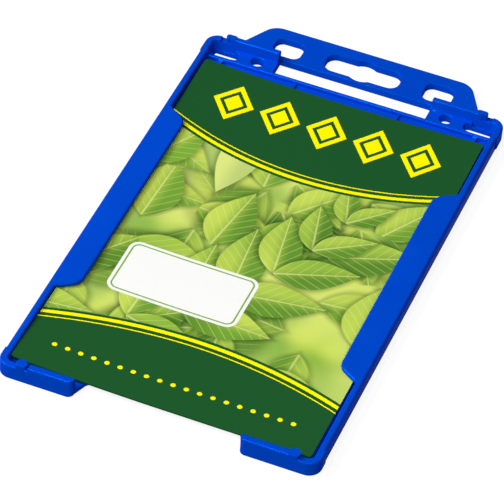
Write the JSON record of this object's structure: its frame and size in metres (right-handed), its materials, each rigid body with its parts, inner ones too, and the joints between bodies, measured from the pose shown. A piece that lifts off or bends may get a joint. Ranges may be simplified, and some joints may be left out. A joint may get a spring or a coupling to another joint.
{
  "type": "badge holder",
  "caption": "Open-faced rigid badge holder with a slotted header, side flanges and a loose printed card that slides in its pocket.",
  "frame": {"origin": "under the middle of the holder's outline, on its back face", "axes": "+Y along the holder up to the slotted header, +Z out of the card's printed face, +X to the right seen from the front"},
  "size_m": [0.0578, 0.1042, 0.0037],
  "materials": {
    "blue_plastic": "satin",
    "card_stock": "satin print"
  },
  "bodies": {
    "holder": {"holder": "blue_plastic"},
    "card": {"card": "card_stock"}
  },
  "joints": [
    {"name": "card_slide", "type": "slide", "parent": "holder", "child": "card", "axis": [0, 1, 0], "range_m": [-0.001, 0]}
  ]
}
